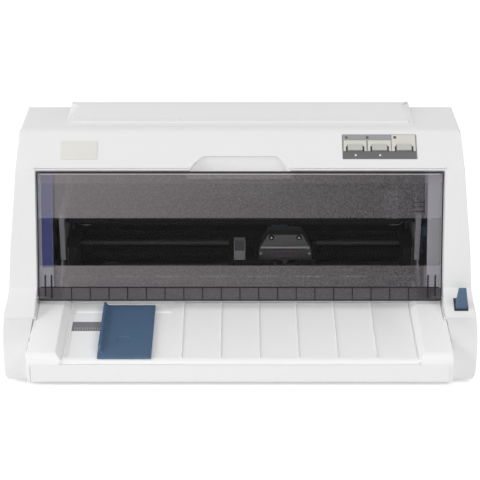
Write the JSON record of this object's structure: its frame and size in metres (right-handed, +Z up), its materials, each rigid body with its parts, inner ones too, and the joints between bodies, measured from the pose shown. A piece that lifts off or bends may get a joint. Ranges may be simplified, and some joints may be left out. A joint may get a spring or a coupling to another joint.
{
  "type": "dot matrix printer",
  "caption": "Flat-bed dot matrix printer with a front paper tray, a hinged tinted window, a hinged rear cover, and a working print carriage and feed rollers.",
  "frame": {"origin": "centre of the footprint on the floor plane under the feet", "axes": "+Z up, +X to the right seen from the front, +Y towards the back; the tray faces -Y"},
  "size_m": [0.48, 0.37, 0.21],
  "materials": {
    "case_white": "fine moulded grain",
    "table_white": "matte",
    "rubber": "matte",
    "steel": "zinc plated sheet",
    "polished_steel": "ground and polished",
    "scale_grey": "printed strip",
    "blue_plastic": "satin",
    "tinted_window": "smoked, with frosted bands",
    "panel_grey": "satin",
    "lamp_lens": "gloss",
    "circuit_board": "lacquered",
    "key_beige": "satin",
    "plate_beige": "satin",
    "label_blue": "satin",
    "black_plastic": "fine grain",
    "platen_rubber": "ground",
    "motor_metal": "satin",
    "pulley_metal": "machined",
    "bronze": "sintered",
    "head_metal": "dark anodised",
    "sensor_grey": "satin"
  },
  "bodies": {
    "case": {"lower_case": "case_white", "upper_case": "case_white", "rubber_feet": "rubber", "case_screws": "steel", "base_plate": "steel", "paper_tray": "case_white", "tray_scale": "scale_grey", "panel_plate": "panel_grey", "panel_lamps": "lamp_lens", "panel_board": "circuit_board", "name_plate": "plate_beige", "side_label": "label_blue", "lever_pin": "steel", "lever_stud": "steel", "left_frame": "steel", "right_frame": "steel", "paper_table": "table_white", "rear_guide": "black_plastic", "roller_bushes": "bronze", "feed_belt": "platen_rubber", "feed_motor": "motor_metal", "tractor_belt": "platen_rubber", "tractor_rod": "polished_steel", "carriage_shaft": "polished_steel", "guide_rail": "steel", "carriage_belt": "platen_rubber", "motor_bracket": "steel", "carriage_motor": "motor_metal", "ribbon_cartridge": "black_plastic", "electronics": "circuit_board", "sockets": "black_plastic"},
    "window": {"window_panel": "tinted_window", "window_pins": "polished_steel"},
    "rear_cover": {"rear_cover": "case_white"},
    "edge_guide": {"edge_guide": "blue_plastic"},
    "key_left": {"key_left": "key_beige"},
    "key_middle": {"key_middle": "key_beige"},
    "key_right": {"key_right": "key_beige"},
    "release_lever": {"release_lever": "blue_plastic"},
    "thickness_lever": {"thickness_lever": "blue_plastic"},
    "power_rocker": {"power_rocker": "black_plastic"},
    "carriage": {"carriage": "black_plastic", "carriage_bushes": "bronze", "print_head": "head_metal", "head_screws": "polished_steel", "edge_sensor": "sensor_grey"},
    "belt_pulley": {"belt_pulley": "pulley_metal"},
    "belt_idler": {"belt_idler": "pulley_metal"},
    "platen": {"platen": "platen_rubber"},
    "front_roller": {"front_roller": "platen_rubber"},
    "rear_roller": {"rear_roller": "platen_rubber"},
    "front_pinch": {"front_pinch": "platen_rubber"},
    "rear_pinch": {"rear_pinch": "platen_rubber"},
    "motor_pulley": {"motor_pulley": "pulley_metal"},
    "tractor_shaft": {"tractor_shaft": "polished_steel"},
    "left_tractor": {"left_tractor": "black_plastic"},
    "right_tractor": {"right_tractor": "black_plastic"},
    "left_flap": {"left_flap": "black_plastic"},
    "right_flap": {"right_flap": "black_plastic"},
    "ribbon_knob": {"ribbon_knob": "black_plastic"}
  },
  "joints": [
    {"name": "window_open", "type": "hinge", "parent": "case", "child": "window", "pos_m": [0, -0.08988, 0.04872], "axis": [1, 0, 0], "range_deg": [0, 98]},
    {"name": "rear_cover_open", "type": "hinge", "parent": "case", "child": "rear_cover", "pos_m": [0, 0.1558, 0.16909], "axis": [-1, 0, 0], "range_deg": [0, 95]},
    {"name": "edge_guide_slide", "type": "slide", "parent": "case", "child": "edge_guide", "axis": [1, 0, 0], "range_m": [-0.026, 0.016]},
    {"name": "key_left_press", "type": "slide", "parent": "case", "child": "key_left", "axis": [0, 0.6428, -0.766], "range_m": [0, 0.0012], "stiffness_N_per_m": 300},
    {"name": "key_middle_press", "type": "slide", "parent": "case", "child": "key_middle", "axis": [0, 0.6428, -0.766], "range_m": [0, 0.0012], "stiffness_N_per_m": 300},
    {"name": "key_right_press", "type": "slide", "parent": "case", "child": "key_right", "axis": [0, 0.6428, -0.766], "range_m": [0, 0.0012], "stiffness_N_per_m": 300},
    {"name": "release_lever_swing", "type": "hinge", "parent": "case", "child": "release_lever", "pos_m": [0.225, -0.1087, 0.03], "axis": [-1, 0, 0], "range_deg": [0, 14]},
    {"name": "thickness_lever_swing", "type": "hinge", "parent": "case", "child": "thickness_lever", "pos_m": [0.1926, -0.00301, 0.062], "axis": [1, 0, 0], "range_deg": [-14, 14]},
    {"name": "power_rocker_tilt", "type": "hinge", "parent": "case", "child": "power_rocker", "pos_m": [0.112, 0.1764, 0.023], "axis": [1, 0, 0], "range_deg": [-6, 6]},
    {"name": "carriage_slide", "type": "slide", "parent": "case", "child": "carriage", "axis": [1, 0, 0], "range_m": [-0.15, 0.058]},
    {"name": "belt_pulley_spin", "type": "hinge", "parent": "case", "child": "belt_pulley", "pos_m": [0.166, 0.01899, 0.089], "axis": [0, 0, 1], "range_deg": [-1000, 400]},
    {"name": "belt_idler_spin", "type": "hinge", "parent": "case", "child": "belt_idler", "pos_m": [-0.166, 0.01899, 0.089], "axis": [0, 0, 1], "range_deg": [-1000, 400]},
    {"name": "platen_spin", "type": "hinge", "parent": "case", "child": "platen", "pos_m": [0, -0.01301, 0.0299], "axis": [1, 0, 0], "continuous": true},
    {"name": "front_roller_spin", "type": "hinge", "parent": "case", "child": "front_roller", "pos_m": [0, -0.04501, 0.03387], "axis": [1, 0, 0], "continuous": true},
    {"name": "rear_roller_spin", "type": "hinge", "parent": "case", "child": "rear_roller", "pos_m": [0, 0.04099, 0.0349], "axis": [1, 0, 0], "continuous": true},
    {"name": "front_pinch_spin", "type": "hinge", "parent": "case", "child": "front_pinch", "pos_m": [0, -0.04501, 0.04757], "axis": [1, 0, 0], "continuous": true},
    {"name": "rear_pinch_spin", "type": "hinge", "parent": "case", "child": "rear_pinch", "pos_m": [0, 0.04099, 0.0486], "axis": [1, 0, 0], "continuous": true},
    {"name": "motor_pulley_spin", "type": "hinge", "parent": "case", "child": "motor_pulley", "pos_m": [-0.187, 0.07698, 0.0246], "axis": [1, 0, 0], "continuous": true},
    {"name": "tractor_shaft_spin", "type": "hinge", "parent": "case", "child": "tractor_shaft", "pos_m": [0, 0.133, 0.0959], "axis": [1, 0, 0], "continuous": true},
    {"name": "left_tractor_slide", "type": "slide", "parent": "case", "child": "left_tractor", "axis": [1, 0, 0], "range_m": [-0.048, 0.03]},
    {"name": "right_tractor_slide", "type": "slide", "parent": "case", "child": "right_tractor", "axis": [1, 0, 0], "range_m": [-0.03, 0.048]},
    {"name": "left_flap_open", "type": "hinge", "parent": "left_tractor", "child": "left_flap", "pos_m": [-0.1214, 0.113, 0.1101], "axis": [0, -1, 0], "range_deg": [0, 110]},
    {"name": "right_flap_open", "type": "hinge", "parent": "right_tractor", "child": "right_flap", "pos_m": [0.1214, 0.113, 0.1101], "axis": [0, 1, 0], "range_deg": [0, 110]},
    {"name": "ribbon_knob_spin", "type": "hinge", "parent": "case", "child": "ribbon_knob", "pos_m": [-0.111, 0.04959, 0.0714], "axis": [0, 0, 1], "continuous": true}
  ],
  "couplings": [
    {"joint": "belt_pulley_spin", "follows": "carriage_slide", "rad_per_m": 111.11},
    {"joint": "belt_idler_spin", "follows": "carriage_slide", "rad_per_m": 111.11},
    {"joint": "front_roller_spin", "follows": "platen_spin", "ratio": 1.625},
    {"joint": "rear_roller_spin", "follows": "platen_spin", "ratio": 1.625},
    {"joint": "front_pinch_spin", "follows": "platen_spin", "ratio": -2.6},
    {"joint": "rear_pinch_spin", "follows": "platen_spin", "ratio": -2.6},
    {"joint": "motor_pulley_spin", "follows": "platen_spin", "ratio": 2.1667},
    {"joint": "tractor_shaft_spin", "follows": "platen_spin", "ratio": 0.92857}
  ]
}
